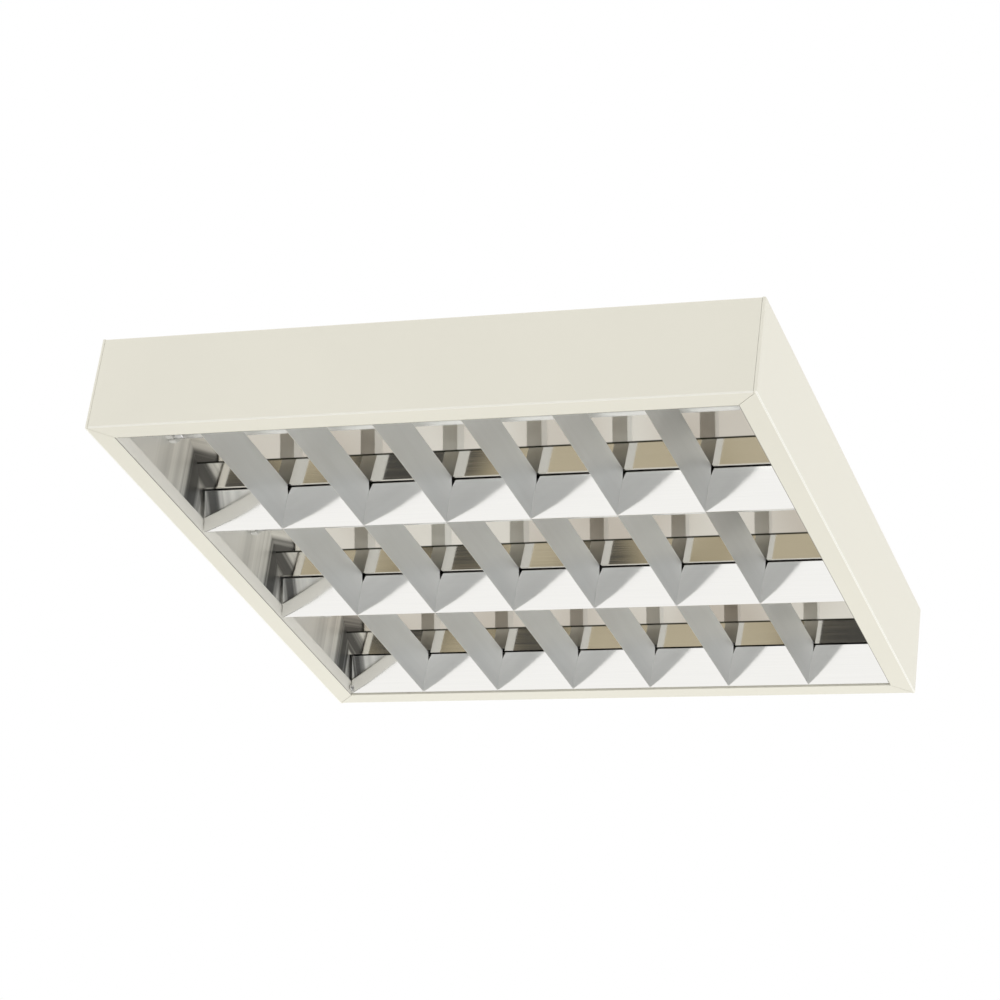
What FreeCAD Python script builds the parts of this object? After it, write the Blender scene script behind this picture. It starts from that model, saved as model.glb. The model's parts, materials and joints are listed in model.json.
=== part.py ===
import FreeCAD, Part
import math
import os
import Sketcher

# Square ceiling light with three rows of parabolic V louver.
# Frame: origin in the middle of the top face, which lies against the ceiling.
# +X runs along the lamps, +Y across them, +Z up.  Lengths are in millimetres.

ROWS = 3
CELLS = 7

SIZES = {
    # lamps
    "lamp_length": 549.0,
    "tube_diameter": 16.0,
    "tube_wall": 0.8,
    "cap_length": 8.5,
    "pin_length": 7.0,
    "pin_diameter": 2.35,
    "pin_spacing": 4.75,
    "lamp_height": 57.0,
    "lamp_gap": 0.7,
    # casing
    "case_width": 600.0,
    "case_height": 88.0,
    "sheet": 0.8,
    "flange_width": 20.0,
    "lip_height": 13.0,
    "bend_radius": 1.4,
    "joint_gap": 0.3,
    "corner_wrap": 2.6,
    "corner_angle": 12.0,
    "angle_clear": 4.0,
    # fixing holes and cable entry in the top
    "fixing_length": 500.0,
    "fixing_width": 400.0,
    "fixing_hole": 6.0,
    "entry_offset": 210.0,
    "entry_hole": 20.0,
    "entry_bore": 14.0,
    "entry_flange": 3.0,
    "entry_lip": 2.4,
    "entry_recess": 36.0,
    "recess_depth": 2.6,
    # lampholders and what carries them
    "holder_reach": 6.4,
    "holder_depth": 10.0,
    "holder_width": 24.0,
    "holder_rise": 14.0,
    "holder_drop": 9.5,
    "holder_corner": 5.5,
    "collar_rim": 3.0,
    "collar_thickness": 2.0,
    "holder_clear": 0.2,
    "lip_clear": 0.8,
    "mirror_sheet": 0.5,
    "mirror_lift": 2.0,
    "bracket_flange": 12.0,
    "bracket_ends": 1.0,
    "rotor_radius": 7.0,
    "rotor_clear": 0.05,
    "rotor_length": 6.4,
    "rotor_inset": 0.1,
    "pin_clear": 0.05,
    # reflectors over the lamps
    "reflector_clear": 1.0,
    "reflector_foot": 76.5,
    "foot_width": 3.0,
    "seam_width": 61.5,
    "seam_height": 56.0,
    "roof_width": 38.0,
    "roof_rise": 15.0,
    # louver
    "louver_lift": 1.0,
    "louver_height": 36.0,
    "louver_foil": 0.6,
    "profile_spread": 12.5,
    "profile_bow": 0.2,
    "blade_spread": 7.0,
    "blade_bow": 1.4,
    "blade_fold": 7.5,
    "blade_foil": 0.5,
    "blade_clear": 0.15,
    "blade_corner": 6.0,
    "louver_clear": 1.5,
    "edge_lean": 1.5,
    "edge_fold": 1.3,
    "end_clear": 1.0,
    "end_tab": 0.8,
    # hinge and catches
    "pivot_inset": 6.0,
    "pivot_height": 5.0,
    "hinge_pin": 3.0,
    "hinge_clear": 0.05,
    "hinge_reach": 1.4,
    "hinge_tail": 0.5,
    "ear_reach": 3.0,
    "catch_offset": 200.0,
    "catch_width": 14.0,
    "catch_foil": 0.4,
    "catch_depth": 9.0,
    "catch_nose": 0.5,
    # control gear
    "ballast_length": 340.0,
    "ballast_width": 30.0,
    "ballast_height": 21.0,
    "ballast_edge": 1.5,
    "ballast_foot": 12.0,
    "foot_thickness": 1.0,
    "block_length": 34.0,
    "block_width": 22.0,
    "block_height": 16.0,
    "block_offset": 150.0,
    "pole_pitch": 10.0,
    "pole_hole": 3.6,
    "pole_depth": 5.0,
    "wire_window": 4.0,
    "earth_offset": 110.0,
    "earth_nut": 4.2,
    "earth_nut_height": 3.0,
    "earth_length": 9.0,
    # screws
    "screw_radius": 1.9,
    "screw_head": 3.6,
    "screw_head_height": 2.2,
    "screw_clear": 0.1,
}

SHEET_NAME = "Sizes"
OVERSHOOT = 1.0
HEXAGON_FLAT = math.sqrt(3) / 2
doc = FreeCAD.newDocument("ceiling_light")
nodes = []


class Measure:
    """A length together with the sheet expression that gives it."""

    def __init__(self, value, text):
        self.value = value
        self.text = text

    def __add__(self, other):
        other = as_measure(other)
        return Measure(self.value + other.value, f"({self.text} + {other.text})")

    def __sub__(self, other):
        other = as_measure(other)
        return Measure(self.value - other.value, f"({self.text} - {other.text})")

    def __mul__(self, other):
        other = as_measure(other)
        return Measure(self.value * other.value, f"({self.text} * {other.text})")

    def __truediv__(self, other):
        other = as_measure(other)
        return Measure(self.value / other.value, f"({self.text} / {other.text})")

    def __radd__(self, other):
        return as_measure(other) + self

    def __rsub__(self, other):
        return as_measure(other) - self

    def __rmul__(self, other):
        return as_measure(other) * self

    def __neg__(self):
        return self * -1


def as_measure(number):
    if isinstance(number, Measure):
        return number
    return Measure(float(number), f"({float(number)!r})")


def size(name):
    return Measure(SIZES[name], f"{SHEET_NAME}.{name}")


def fill_sheet():
    sheet = doc.addObject("Spreadsheet::Sheet", SHEET_NAME)
    for row, (name, value) in enumerate(SIZES.items(), start=1):
        sheet.set(f"A{row}", name)
        sheet.set(f"B{row}", str(value))
        sheet.setAlias(f"B{row}", name)
    doc.recompute()


def bind(feature, prop, measure):
    measure = as_measure(measure)
    feature.setExpression(prop, measure.text)


# ---------------------------------------------------------------- sketches


def new_body(name):
    return doc.addObject("PartDesign::Body", name)


def new_sketch(body, plane, offset=0):
    """Sketch on one of the body's own origin planes, moved along its normal."""
    sketch = body.newObject("Sketcher::SketchObject", f"{body.Name}_outline")
    planes = [item for item in body.Origin.OriginFeatures if item.Role == plane]
    sketch.AttachmentSupport = (planes[0], [""])
    sketch.MapMode = "FlatFace"
    bind(sketch, "AttachmentOffset.Base.z", offset)
    return sketch


def pin_point(sketch, number, position, point):
    """Hold a point of the sketch at its two measures from the origin."""
    for kind, measure in zip(("DistanceX", "DistanceY"), point):
        measure = as_measure(measure)
        rule = Sketcher.Constraint(kind, -1, 1, number, position, measure.value)
        bind(sketch, f"Constraints[{sketch.addConstraint(rule)}]", measure)


def draw_arc(sketch, start, stop, bow):
    """Arc from start to stop; a positive bow bulges to the left of the way."""
    first = FreeCAD.Vector(start[0].value, start[1].value, 0)
    last = FreeCAD.Vector(stop[0].value, stop[1].value, 0)
    chord = last - first
    left = FreeCAD.Vector(-chord.y, chord.x, 0).normalize()
    middle = (first + last) * 0.5 + left * bow.value
    number = sketch.addGeometry(Part.Arc(first, middle, last), False)
    run = stop[0] - start[0]
    rise = stop[1] - start[1]
    depth = bow if bow.value > 0 else -bow
    radius = (run * run + rise * rise) / (depth * 8) + depth / 2
    rule = Sketcher.Constraint("Radius", number, radius.value)
    bind(sketch, f"Constraints[{sketch.addConstraint(rule)}]", radius)
    return (number, 2, 1) if bow.value > 0 else (number, 1, 2)


def draw_loop(sketch, points, bows=None):
    """Closed loop through the points; bows turns numbered sides into arcs."""
    bows = bows or {}
    points = [(as_measure(u), as_measure(v)) for u, v in points]
    sides = []
    for index, start in enumerate(points):
        stop = points[(index + 1) % len(points)]
        if index in bows:
            sides.append(draw_arc(sketch, start, stop, as_measure(bows[index])))
            continue
        first = FreeCAD.Vector(start[0].value, start[1].value, 0)
        last = FreeCAD.Vector(stop[0].value, stop[1].value, 0)
        sides.append((sketch.addGeometry(Part.LineSegment(first, last), False), 1, 2))
    for index, (number, start_end, _) in enumerate(sides):
        before = sides[index - 1]
        joint = Sketcher.Constraint("Coincident", before[0], before[2], number, start_end)
        sketch.addConstraint(joint)
        pin_point(sketch, number, start_end, points[index])


def draw_box(sketch, left, bottom, right, top):
    draw_loop(sketch, [(left, bottom), (right, bottom), (right, top), (left, top)])


def draw_circle(sketch, across, up, radius):
    across = as_measure(across)
    up = as_measure(up)
    radius = as_measure(radius)
    centre = FreeCAD.Vector(across.value, up.value, 0)
    ring = Part.Circle(centre, FreeCAD.Vector(0, 0, 1), radius.value)
    number = sketch.addGeometry(ring, False)
    pin_point(sketch, number, 3, (across, up))
    rule = Sketcher.Constraint("Radius", number, radius.value)
    bind(sketch, f"Constraints[{sketch.addConstraint(rule)}]", radius)


def draw_hexagon(sketch, across, radius):
    """Hexagon on the first axis, its radius taken to the corners."""
    half = radius / 2
    flat = radius * HEXAGON_FLAT
    points = [(radius, 0), (half, flat), (-half, flat), (-radius, 0), (-half, -flat), (half, -flat)]
    draw_loop(sketch, [(across + u, v) for u, v in points])


def draw_slot(sketch, along, across, beyond, side):
    """Slot for a screw, open to one side so that the piece slides under it."""
    half = size("screw_radius") + size("screw_clear")
    draw_box(sketch, along - half * side, across - half, beyond, across + half)


# ---------------------------------------------------------------- features


def add_feature(body, kind, sketch, length, symmetric, reverse=False):
    feature = body.newObject(f"PartDesign::{kind}", f"{body.Name}_{kind.lower()}")
    feature.Profile = sketch
    feature.Reversed = reverse
    if symmetric:
        feature.SideType = "Symmetric"
    bind(feature, "Length", length)
    body.Tip = feature
    return feature


def pad(body, sketch, length, symmetric=False):
    return add_feature(body, "Pad", sketch, length, symmetric)


def cut(body, sketch, length):
    """Pocket of the whole length, half to each side of its sketch."""
    return add_feature(body, "Pocket", sketch, length, True)


def edges_along(shape, axis, places):
    """Names of the straight edges along an axis that pass through the places."""
    names = []
    for number, edge in enumerate(shape.Edges, start=1):
        ends = [vertex.Point for vertex in edge.Vertexes]
        if len(ends) != 2 or abs(abs((ends[1] - ends[0]).normalize()[axis]) - 1) > 1e-6:
            continue
        rest = [value for index, value in enumerate(ends[0]) if index != axis]
        for place in places:
            near = [abs(value - as_measure(wanted).value) for value, wanted in zip(rest, place)]
            if max(near) < 1e-3:
                names.append(f"Edge{number}")
    return names


def round_edges(body, axis, places, radius):
    doc.recompute()
    base = body.Tip
    feature = body.newObject("PartDesign::Fillet", f"{body.Name}_round")
    feature.Base = (base, edges_along(base.Shape, axis, places))
    bind(feature, "Radius", radius)
    body.Tip = feature
    return feature


def put(piece, along=0, across=0, up=0, turned=False):
    """Place a finished piece; turned swings it half round the upright axis."""
    turn = FreeCAD.Rotation(FreeCAD.Vector(0, 0, 1), 180 if turned else 0)
    piece.Placement = FreeCAD.Placement(FreeCAD.Vector(0, 0, 0), turn)
    bind(piece, ".Placement.Base.x", along)
    bind(piece, ".Placement.Base.y", across)
    bind(piece, ".Placement.Base.z", up)
    return piece


def keep(piece, name):
    piece.Label = name
    nodes.append(piece)
    return piece


def group(name, pieces):
    """Several separate solids that share one node."""
    bundle = doc.addObject("Part::Compound", f"{name}_set")
    bundle.Links = pieces
    return keep(bundle, name)


# ------------------------------------------------------- shared dimensions

fill_sheet()
sheet = size("sheet")
floor = -size("case_height")
ceiling = -sheet
mirror_face = size("lamp_length") / 2 + size("lamp_gap") + size("holder_reach")
bracket_face = mirror_face + size("mirror_sheet")
opening_x = mirror_face - size("lip_clear") - sheet
case_x = opening_x + size("flange_width")
case_y = size("case_width") / 2
opening_y = case_y - size("flange_width")
row_pitch = opening_y * 2 / ROWS
cell_pitch = opening_x * 2 / CELLS
lamp_z = floor + size("lamp_height")
louver_bottom = floor + size("louver_lift")
louver_top = louver_bottom + size("louver_height")
louver_x = opening_x - size("end_clear")
louver_y = opening_y - size("louver_clear")
edge_y = louver_y - size("edge_fold")
pivot_y = opening_y - size("pivot_inset")
pivot_z = floor + size("pivot_height")
valley_y = row_pitch / 2
row_names = ("front", "middle", "back")
side_names = ((-1, "left"), (1, "right"))


def row_centre(row):
    return row_pitch * (row - (ROWS - 1) / 2)


# ------------------------------------------------------------------ casing


def mitre_cut(body, keeps_long_side):
    """Cut flange and lip back to the corner diagonals, less the joint gap."""
    sketch = new_sketch(body, "XY_Plane", floor)
    gap = size("joint_gap")
    inner = -size("flange_width") - sheet * 2
    if keeps_long_side:
        points = [(inner - gap, inner), (-sheet, inner), (-sheet, -sheet), (-sheet - gap, -sheet)]
    else:
        wrap = -size("corner_wrap")
        points = [(inner, inner - gap), (wrap, wrap - gap), (wrap, OVERSHOOT), (inner, OVERSHOOT)]
    for right in (-1, 1):
        for back in (-1, 1):
            draw_loop(sketch, [((case_x + u) * right, (case_y + v) * back) for u, v in points])
    return cut(body, sketch, (size("lip_height") + OVERSHOOT) * 2)


def section_points(wall, opening):
    """Half section of a wall, its flange and its lip, from the top down."""
    lip_top = floor + size("lip_height")
    outside = [(wall, 0), (wall, floor), (opening, floor), (opening, lip_top)]
    inside = [
        (opening + sheet, lip_top),
        (opening + sheet, floor + sheet),
        (wall - sheet, floor + sheet),
        (wall - sheet, ceiling),
    ]
    return outside, inside


def housing_tray():
    body = new_body("housing_tray")
    outside, inside = section_points(case_y, opening_y)
    across = [(-u, v) for u, v in reversed(outside)]
    back = [(-u, v) for u, v in reversed(inside)]
    sketch = new_sketch(body, "YZ_Plane")
    draw_loop(sketch, outside + inside + back + across)
    wall_x = case_x - size("corner_wrap") - size("joint_gap")
    pad(body, sketch, wall_x * 2, symmetric=True)
    end = new_sketch(body, "XY_Plane", ceiling)
    inner_x = case_x - sheet - size("joint_gap")
    inner_y = case_y - sheet - size("joint_gap")
    draw_box(end, -inner_x, -inner_y, inner_x, inner_y)
    pad(body, end, sheet)
    dish = new_sketch(body, "XY_Plane", -size("recess_depth") - sheet)
    draw_circle(dish, -size("entry_offset"), -valley_y, size("entry_recess") / 2 + sheet)
    pad(body, dish, size("recess_depth") + sheet)
    recess = new_sketch(body, "XY_Plane")
    draw_circle(recess, -size("entry_offset"), -valley_y, size("entry_recess") / 2)
    cut(body, recess, size("recess_depth") * 2)
    holes = new_sketch(body, "XY_Plane")
    draw_circle(holes, -size("entry_offset"), -valley_y, size("entry_hole") / 2)
    for right in (-1, 1):
        for back in (-1, 1):
            along = size("fixing_length") / 2 * right
            draw_circle(holes, along, size("fixing_width") / 2 * back, size("fixing_hole") / 2)
    cut(body, holes, (size("recess_depth") + sheet * 2) * 2)
    mitre_cut(body, keeps_long_side=True)
    bends = [(case_y * back, level) for back in (-1, 1) for level in (floor, 0)]
    round_edges(body, 0, bends, size("bend_radius"))
    return keep(body, "housing_tray")


def end_plate(side, name):
    body = new_body(f"end_plate_{name}")
    outside, inside = section_points(case_x, opening_x)
    inside[-1] = (case_x - sheet, 0)
    points = [(u * side, v) for u, v in outside + inside]
    sketch = new_sketch(body, "XZ_Plane")
    draw_loop(sketch, points)
    pad(body, sketch, case_y * 2, symmetric=True)
    mitre_cut(body, keeps_long_side=False)
    wrap = new_sketch(body, "XY_Plane", floor)
    for back in (-1, 1):
        near = (case_x - size("corner_wrap")) * side
        draw_box(wrap, near, (case_y - sheet) * back, case_x * side, case_y * back)
    pad(body, wrap, size("case_height"))
    corners = [(case_x * side, case_y * back) for back in (-1, 1)]
    round_edges(body, 2, corners, size("bend_radius"))
    return keep(body, f"end_plate_{name}")


def corner_angle(right, back):
    body = new_body("corner_angle")
    leg = size("corner_angle")
    sketch = new_sketch(body, "XY_Plane", floor + size("lip_height"))
    near_x = (case_x - sheet) * right
    near_y = (case_y - sheet) * back
    far_x = (case_x - sheet - leg) * right
    far_y = (case_y - sheet - leg) * back
    thin_x = (case_x - sheet * 2) * right
    thin_y = (case_y - sheet * 2) * back
    points = [(near_x, near_y), (near_x, far_y), (thin_x, far_y)]
    points += [(thin_x, thin_y), (far_x, thin_y), (far_x, near_y)]
    draw_loop(sketch, points)
    pad(body, sketch, ceiling - floor - size("lip_height") - size("angle_clear"))
    return body


# ------------------------------------------------------------- lamp support


def holder_section(sketch, across, up, clear):
    """Outline of a lampholder, its corners cut off below the lamp."""
    half = size("holder_width") / 2 + clear
    low = up - size("holder_drop") - clear
    high = up + size("holder_rise") + clear
    corner = size("holder_corner")
    points = [(across - half, high), (across - half, low + corner)]
    points += [(across - half + corner, low), (across + half - corner, low)]
    points += [(across + half, low + corner), (across + half, high)]
    draw_loop(sketch, points)


def holder_openings(body, side):
    sketch = new_sketch(body, "YZ_Plane", mirror_face * side)
    for row in range(ROWS):
        holder_section(sketch, row_centre(row), lamp_z, size("holder_clear"))
    cut(body, sketch, (size("mirror_sheet") + sheet) * 4)


def lampholder_bracket(side, name):
    body = new_body(f"lampholder_bracket_{name}")
    web = bracket_face
    low = floor + size("mirror_lift")
    points = [(web, low), (web + sheet, low), (web + sheet, ceiling - sheet)]
    points += [(web + size("bracket_flange"), ceiling - sheet)]
    points += [(web + size("bracket_flange"), ceiling), (web, ceiling)]
    sketch = new_sketch(body, "XZ_Plane")
    draw_loop(sketch, [(u * side, v) for u, v in points])
    pad(body, sketch, (opening_y - size("bracket_ends")) * 2, symmetric=True)
    holder_openings(body, side)
    slots = new_sketch(body, "XY_Plane", ceiling)
    beyond = (web + size("bracket_flange") + OVERSHOOT) * side
    for along, across in bracket_screw_places(side):
        draw_slot(slots, along, across, beyond, side)
    cut(body, slots, sheet * 4)
    return keep(body, f"lampholder_bracket_{name}")


def end_reflector(side, name):
    body = new_body(f"end_reflector_{name}")
    low = floor + size("mirror_lift")
    high = lamp_z + size("roof_rise") + size("mirror_sheet")
    half = opening_y - size("bracket_ends")
    sketch = new_sketch(body, "YZ_Plane", (mirror_face + size("mirror_sheet") / 2) * side)
    draw_box(sketch, -half, low, half, high)
    pad(body, sketch, size("mirror_sheet"), symmetric=True)
    holder_openings(body, side)
    return keep(body, f"end_reflector_{name}")


def upper_reflector(row):
    """Faceted trough of mirror sheet over one lamp."""
    name = f"upper_reflector_{row_names[row]}"
    body = new_body(name)
    foil = size("mirror_sheet")
    low = louver_top + size("reflector_clear")
    seam_z = floor + size("seam_height")
    roof_z = lamp_z + size("roof_rise")
    foot = size("reflector_foot")
    seam = size("seam_width")
    roof = size("roof_width")
    outer = foot + size("foot_width")
    inside = [(outer, low), (foot, low), (seam, seam_z), (roof, roof_z)]
    outside = [(roof, roof_z + foil), (seam + foil, seam_z + foil)]
    outside += [(foot + foil, low + foil), (outer, low + foil)]
    inside += [(-u, v) for u, v in reversed(inside)]
    outside = [(-u, v) for u, v in reversed(outside)] + outside
    sketch = new_sketch(body, "YZ_Plane")
    draw_loop(sketch, inside + outside)
    pad(body, sketch, mirror_face * 2, symmetric=True)
    put(body, 0, row_centre(row))
    return keep(body, name)


def lampholder(row, side, name):
    """Push-through holder: block, collar, rotor bore and entry slot."""
    body = new_body(f"lampholder_{row_names[row]}_{name}")
    behind = size("mirror_sheet") + sheet
    block = new_sketch(body, "YZ_Plane", -size("holder_reach"))
    holder_section(block, 0, 0, 0)
    pad(body, block, size("holder_reach") + size("holder_depth"))
    collar = new_sketch(body, "YZ_Plane", behind)
    wide = size("holder_width") / 2 + size("collar_rim")
    deep = size("holder_drop") + size("collar_rim")
    tall = size("holder_rise") + size("collar_rim")
    draw_box(collar, -wide, -deep, wide, tall)
    pad(body, collar, size("collar_thickness"))
    bore = new_sketch(body, "YZ_Plane", -size("holder_reach"))
    draw_circle(bore, 0, 0, size("rotor_radius") + size("rotor_clear"))
    bore_depth = size("rotor_length") + size("rotor_inset") * 2
    cut(body, bore, bore_depth * 2)
    slot = new_sketch(body, "YZ_Plane", -size("holder_reach"))
    half_slot = size("pin_diameter") / 2 + size("holder_clear")
    draw_box(slot, -half_slot, -size("holder_drop") - OVERSHOOT, half_slot, 0)
    cut(body, slot, bore_depth * 2)
    put(body, mirror_face * side, row_centre(row), lamp_z, turned=side < 0)
    return keep(body, f"lampholder_{row_names[row]}_{name}")


# ------------------------------------------------------------------- lamps


def lamp_tube(row):
    body = new_body(f"lamp_tube_{row_names[row]}")
    sketch = new_sketch(body, "YZ_Plane")
    draw_circle(sketch, 0, 0, size("tube_diameter") / 2)
    draw_circle(sketch, 0, 0, size("tube_diameter") / 2 - size("tube_wall"))
    pad(body, sketch, size("lamp_length") - size("cap_length") * 2, symmetric=True)
    put(body, 0, row_centre(row), lamp_z)
    return keep(body, f"lamp_tube_{row_names[row]}")


def lamp_cap(row, side):
    body = new_body("lamp_cap")
    shell = new_sketch(body, "YZ_Plane", -size("cap_length"))
    draw_circle(shell, 0, 0, size("tube_diameter") / 2)
    pad(body, shell, size("cap_length"))
    pins = new_sketch(body, "YZ_Plane")
    for across in (-1, 1):
        draw_hexagon(pins, size("pin_spacing") / 2 * across, size("pin_diameter") / 2)
    pad(body, pins, size("pin_length"))
    half = size("lamp_length") / 2
    return put(body, half * side, row_centre(row), lamp_z, turned=side < 0)


def lamp_rotor(row, side):
    """Turning insert of a holder, slotted to one side for the two pins."""
    body = new_body("lamp_rotor")
    disc = new_sketch(body, "YZ_Plane", size("rotor_inset") - size("holder_reach"))
    draw_circle(disc, 0, 0, size("rotor_radius"))
    pad(body, disc, size("rotor_length"))
    slot = new_sketch(body, "YZ_Plane")
    half_slot = size("pin_diameter") / 2 + size("pin_clear")
    closed = (size("pin_spacing") / 2 + half_slot) * side
    opened = -(size("rotor_radius") + OVERSHOOT) * side
    draw_box(slot, opened, -half_slot, closed, half_slot)
    cut(body, slot, size("holder_reach") * 4)
    return put(body, mirror_face * side, row_centre(row), lamp_z, turned=side < 0)


# ------------------------------------------------------------------ louver


def vee_outline(spread):
    return [(-spread, louver_top), (0, louver_bottom), (spread, louver_top)]


def pad_ends(body, draw, length):
    """Folded tabs that close both ends of a profile."""
    for side in (-1, 1):
        middle = (length - size("end_tab") / 2) * side
        sketch = new_sketch(body, "YZ_Plane", middle)
        draw(sketch)
        pad(body, sketch, size("end_tab"), symmetric=True)


def middle_profile(number):
    name = f"louver_profile_middle_{number + 1}"
    body = new_body(name)
    spread = size("profile_spread")
    bow = size("profile_bow")
    foil = size("louver_foil")
    fold = foil * size("louver_height") / spread
    hollow = [(spread - foil, louver_top), (0, louver_bottom + fold), (foil - spread, louver_top)]
    sketch = new_sketch(body, "YZ_Plane")
    draw_loop(sketch, vee_outline(spread) + hollow, {0: bow, 1: bow, 3: -bow, 4: -bow})
    pad(body, sketch, louver_x * 2, symmetric=True)

    def tab(target):
        draw_loop(target, vee_outline(spread), {0: bow, 1: bow})

    pad_ends(body, tab, louver_x)
    put(body, 0, row_centre(number) + valley_y)
    return keep(body, name)


def edge_profile(back, name):
    """Half V along the edge of the opening, parabolic towards the lamps."""
    body = new_body(name)
    foil = size("louver_foil")
    bow = size("profile_bow") * back
    inner_top = edge_y - size("profile_spread")
    outer_top = louver_y - size("edge_lean")
    knee = pivot_z
    outline = [(outer_top, louver_top), (louver_y, knee), (edge_y, louver_bottom)]
    outline += [(inner_top, louver_top)]
    hollow = [(inner_top + foil, louver_top), (edge_y + foil / 2, louver_bottom + foil * 2)]
    hollow += [(louver_y - foil, knee + foil), (outer_top - foil, louver_top)]
    sketch = new_sketch(body, "YZ_Plane")
    points = [(u * back, v) for u, v in outline + hollow]
    draw_loop(sketch, points, {2: -bow, 4: bow})
    pad(body, sketch, louver_x * 2, symmetric=True)

    def tab(target):
        draw_loop(target, [(u * back, v) for u, v in outline], {2: -bow})

    pad_ends(body, tab, louver_x)
    if back > 0:
        def ear(target):
            reach = size("ear_reach")
            draw_box(target, pivot_y - reach, pivot_z - reach, louver_y - foil, pivot_z + reach)

        pad_ends(body, ear, louver_x)
        holes = new_sketch(body, "YZ_Plane")
        draw_circle(holes, pivot_y, pivot_z, size("hinge_pin") / 2)
        cut(body, holes, louver_x * 2 + OVERSHOOT)
    return keep(body, name)


def blade_end(sketch, reach, back):
    """What is cut from a blade so that its end follows the profile's face."""
    tall = size("louver_height")
    spread = size("profile_spread")
    bow = size("profile_bow")
    edge = reach - size("blade_clear")
    part = 1 - size("blade_corner") / tall
    face = edge - spread * part + bow * part * (1 - part) * 4
    level = louver_bottom + tall * part
    top_edge = edge - spread - size("blade_corner")
    over = size("profile_spread")
    points = [(edge, louver_bottom), (face, level), (top_edge, louver_top)]
    points += [(top_edge, louver_top + OVERSHOOT), (edge + over, louver_top + OVERSHOOT)]
    points += [(edge + over, louver_bottom - OVERSHOOT), (edge, louver_bottom - OVERSHOOT)]
    draw_loop(sketch, [(u * back, v) for u, v in points], {0: -bow * part * part * back})


def cross_blade(row, column):
    """V strip folded shut along its top, its ends cut to the profiles' faces."""
    name = f"louver_blade_{row_names[row]}_{column + 1}"
    body = new_body(name)
    spread = size("blade_spread")
    foil = size("blade_foil")
    bow = size("blade_bow")
    fold = size("blade_fold")
    part = 1 - fold / size("louver_height")
    inner = spread - foil * 4 / 3
    sketch = new_sketch(body, "XZ_Plane")
    draw_loop(sketch, vee_outline(spread), {0: bow, 1: bow})
    hollow = [(-inner, louver_top - foil), (0, louver_bottom + fold), (inner, louver_top - foil)]
    draw_loop(sketch, hollow, {0: bow * part * part, 1: bow * part * part})
    pad(body, sketch, row_pitch, symmetric=True)
    edge_reach = edge_y - row_centre(ROWS - 1)
    ends = new_sketch(body, "YZ_Plane")
    blade_end(ends, edge_reach if row == 0 else valley_y, -1)
    blade_end(ends, edge_reach if row == ROWS - 1 else valley_y, 1)
    cut(body, ends, (spread + OVERSHOOT) * 2)
    along = cell_pitch * (column - (CELLS - 2) / 2)
    put(body, along, row_centre(row))
    return keep(body, name)


def hinge_pin(side, name):
    """Dowel pin from the end tab of the back profile out through the lip."""
    body = new_body(f"hinge_pin_{name}")
    tail = size("end_tab") + size("hinge_tail")
    shank = new_sketch(body, "YZ_Plane", -tail)
    draw_circle(shank, 0, 0, size("hinge_pin") / 2)
    pad(body, shank, tail + size("end_clear") + size("hinge_reach"))
    put(body, louver_x * side, pivot_y, pivot_z, turned=side < 0)
    return keep(body, f"hinge_pin_{name}")


def hinge_holes(body, side):
    sketch = new_sketch(body, "YZ_Plane", opening_x * side)
    draw_circle(sketch, pivot_y, pivot_z, size("hinge_pin") / 2 + size("hinge_clear"))
    cut(body, sketch, sheet * 3)
    return body


def catch_spring(side, name):
    """Spring clip pushed over the front lip, its nose towards the louver."""
    body = new_body(f"catch_spring_{name}")
    foil = size("catch_foil")
    top = size("lip_height")
    foot = top - size("catch_depth")
    nose = size("catch_nose")
    middle = top - size("catch_depth") / 2
    points = [(-sheet - foil, foot), (-sheet - foil, top + foil), (foil, top + foil)]
    points += [(foil + nose, middle), (foil, foot), (0, foot), (nose, middle)]
    points += [(0, top), (-sheet, top), (-sheet, foot)]
    sketch = new_sketch(body, "YZ_Plane")
    draw_loop(sketch, points)
    pad(body, sketch, size("catch_width"), symmetric=True)
    put(body, size("catch_offset") * side, -opening_y, floor)
    return keep(body, f"catch_spring_{name}")


# ------------------------------------------------------------ control gear


def bracket_screw_places(side):
    along = (bracket_face + (size("bracket_flange") + sheet) / 2) * side
    return [(along, valley_y * back) for back in (-1, 1)]


def ballast_screw_places():
    along = (size("ballast_length") + size("ballast_foot")) / 2
    return [(along * side, valley_y) for side in (-1, 1)]


def screw(along, across, seat):
    """Hexagon screw whose square neck stands in the slot of the seat it clamps."""
    body = new_body("screw")
    head = new_sketch(body, "XY_Plane", ceiling - seat - size("screw_head_height"))
    draw_hexagon(head, 0, size("screw_head"))
    pad(body, head, size("screw_head_height"))
    neck = new_sketch(body, "XY_Plane", ceiling - seat)
    half = size("screw_radius")
    draw_box(neck, -half, -half, half, half)
    pad(body, neck, seat)
    return put(body, along, across)


def ballast_case():
    body = new_body("ballast_case")
    half = size("ballast_length") / 2
    wide = size("ballast_width") / 2
    case = new_sketch(body, "XY_Plane", ceiling - size("ballast_height"))
    draw_box(case, -half, -wide, half, wide)
    pad(body, case, size("ballast_height"))
    long_edges = [(wide * back, ceiling - size("ballast_height")) for back in (-1, 1)]
    round_edges(body, 0, long_edges, size("ballast_edge"))
    feet = new_sketch(body, "XY_Plane", ceiling - size("foot_thickness"))
    reach = half + size("ballast_foot")
    draw_box(feet, -reach, -wide, reach, wide)
    pad(body, feet, size("foot_thickness"))
    slots = new_sketch(body, "XY_Plane", ceiling)
    for side, (along, _) in zip((-1, 1), ballast_screw_places()):
        draw_slot(slots, along, 0, (reach + OVERSHOOT) * side, side)
    cut(body, slots, size("foot_thickness") * 4)
    put(body, 0, valley_y)
    return keep(body, "ballast_case")


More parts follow.
